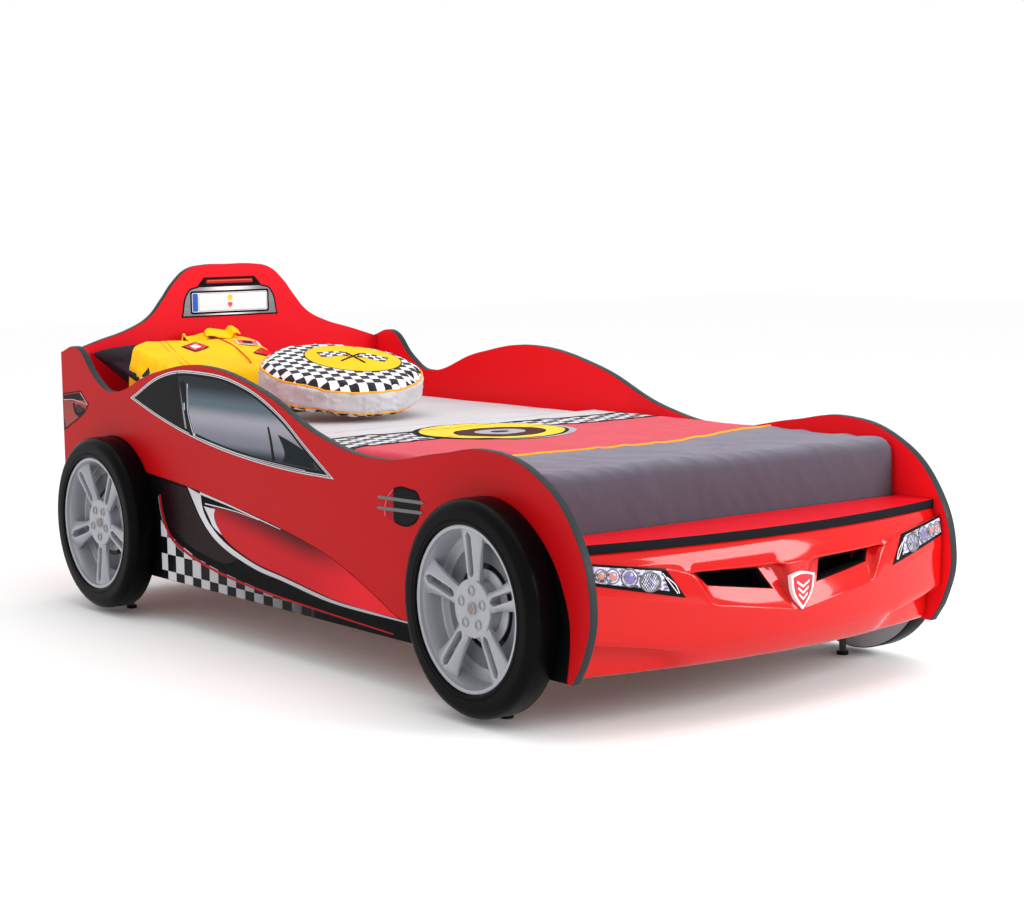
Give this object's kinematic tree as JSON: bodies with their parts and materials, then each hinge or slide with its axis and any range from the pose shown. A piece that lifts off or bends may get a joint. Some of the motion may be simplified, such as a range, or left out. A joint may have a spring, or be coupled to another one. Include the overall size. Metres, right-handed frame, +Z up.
{
  "type": "toddler bed",
  "caption": "Child's bed shaped like a race car: shaped side panels, wheels, moulded bumper, headboard, slatted base, mattress and bedding on screw-in feet.",
  "frame": {"origin": "centre of the bounding box, on the floor", "axes": "+Z up, +Y from the bumper towards the headboard, +X to the right of a person looking from the bumper towards the headboard"},
  "size_m": [1.094, 2.152, 0.8283],
  "materials": {
    "red_board": "satin red melamine board",
    "red_gloss": "glossy vacuum-formed sheet",
    "black_plastic": "matt",
    "lamp_film": "printed and clear coated",
    "badge_plastic": "glossy",
    "window_film": "printed and clear coated",
    "black_film": "printed and clear coated",
    "white_film": "printed and clear coated",
    "tyre_plastic": "satin black",
    "rim_plastic": "silver painted",
    "disc_board": "grey melamine board",
    "beech": "sanded",
    "sheet_cotton": "woven cotton",
    "spread_cotton": "woven cotton",
    "pillow_cotton": "woven cotton",
    "yellow_cotton": "woven cotton",
    "cushion_cotton": "woven cotton"
  },
  "bodies": {
    "bed": {"side_panel_left": "red_board", "side_panel_right": "red_board", "headboard": "red_board", "footboard": "red_board", "hood_shelf": "red_board", "front_bumper": "red_gloss", "grille_backing": "black_plastic", "headlight_left": "lamp_film", "headlight_right": "lamp_film", "bumper_badge": "badge_plastic", "side_window_left": "window_film", "skirt_film_left": "black_film", "side_vent_left": "black_film", "tail_light_left": "lamp_film", "side_window_right": "window_film", "skirt_film_right": "black_film", "side_vent_right": "black_film", "tail_light_right": "lamp_film", "plate_surround": "black_film", "number_plate": "white_film", "brake_light": "lamp_film", "tyre_rear_left": "tyre_plastic", "rim_rear_left": "rim_plastic", "wheel_disc_rear_left": "disc_board", "leg_block_rear_left": "black_plastic", "tyre_rear_right": "tyre_plastic", "rim_rear_right": "rim_plastic", "wheel_disc_rear_right": "disc_board", "leg_block_rear_right": "black_plastic", "tyre_front_left": "tyre_plastic", "rim_front_left": "rim_plastic", "wheel_disc_front_left": "disc_board", "leg_block_front_left": "black_plastic", "tyre_front_right": "tyre_plastic", "rim_front_right": "rim_plastic", "wheel_disc_front_right": "disc_board", "leg_block_front_right": "black_plastic", "slat_rail_left": "beech", "slat_rail_right": "beech", "slat_01": "beech", "slat_02": "beech", "slat_03": "beech", "slat_04": "beech", "slat_05": "beech", "slat_06": "beech", "slat_07": "beech", "slat_08": "beech", "slat_09": "beech", "slat_10": "beech", "mattress": "sheet_cotton", "bedspread": "spread_cotton", "pillow": "pillow_cotton", "pillow_jacket": "yellow_cotton", "round_cushion": "cushion_cotton"},
    "foot_rear_left": {"levelling_foot_rear_left": "black_plastic"},
    "foot_rear_right": {"levelling_foot_rear_right": "black_plastic"},
    "foot_front_left": {"levelling_foot_front_left": "black_plastic"},
    "foot_front_right": {"levelling_foot_front_right": "black_plastic"}
  },
  "joints": [
    {"name": "level_rear_left", "type": "slide", "parent": "bed", "child": "foot_rear_left", "axis": [0, 0, -1], "range_m": [0, 0.015]},
    {"name": "level_rear_right", "type": "slide", "parent": "bed", "child": "foot_rear_right", "axis": [0, 0, -1], "range_m": [0, 0.015]},
    {"name": "level_front_left", "type": "slide", "parent": "bed", "child": "foot_front_left", "axis": [0, 0, -1], "range_m": [0, 0.015]},
    {"name": "level_front_right", "type": "slide", "parent": "bed", "child": "foot_front_right", "axis": [0, 0, -1], "range_m": [0, 0.015]}
  ]
}
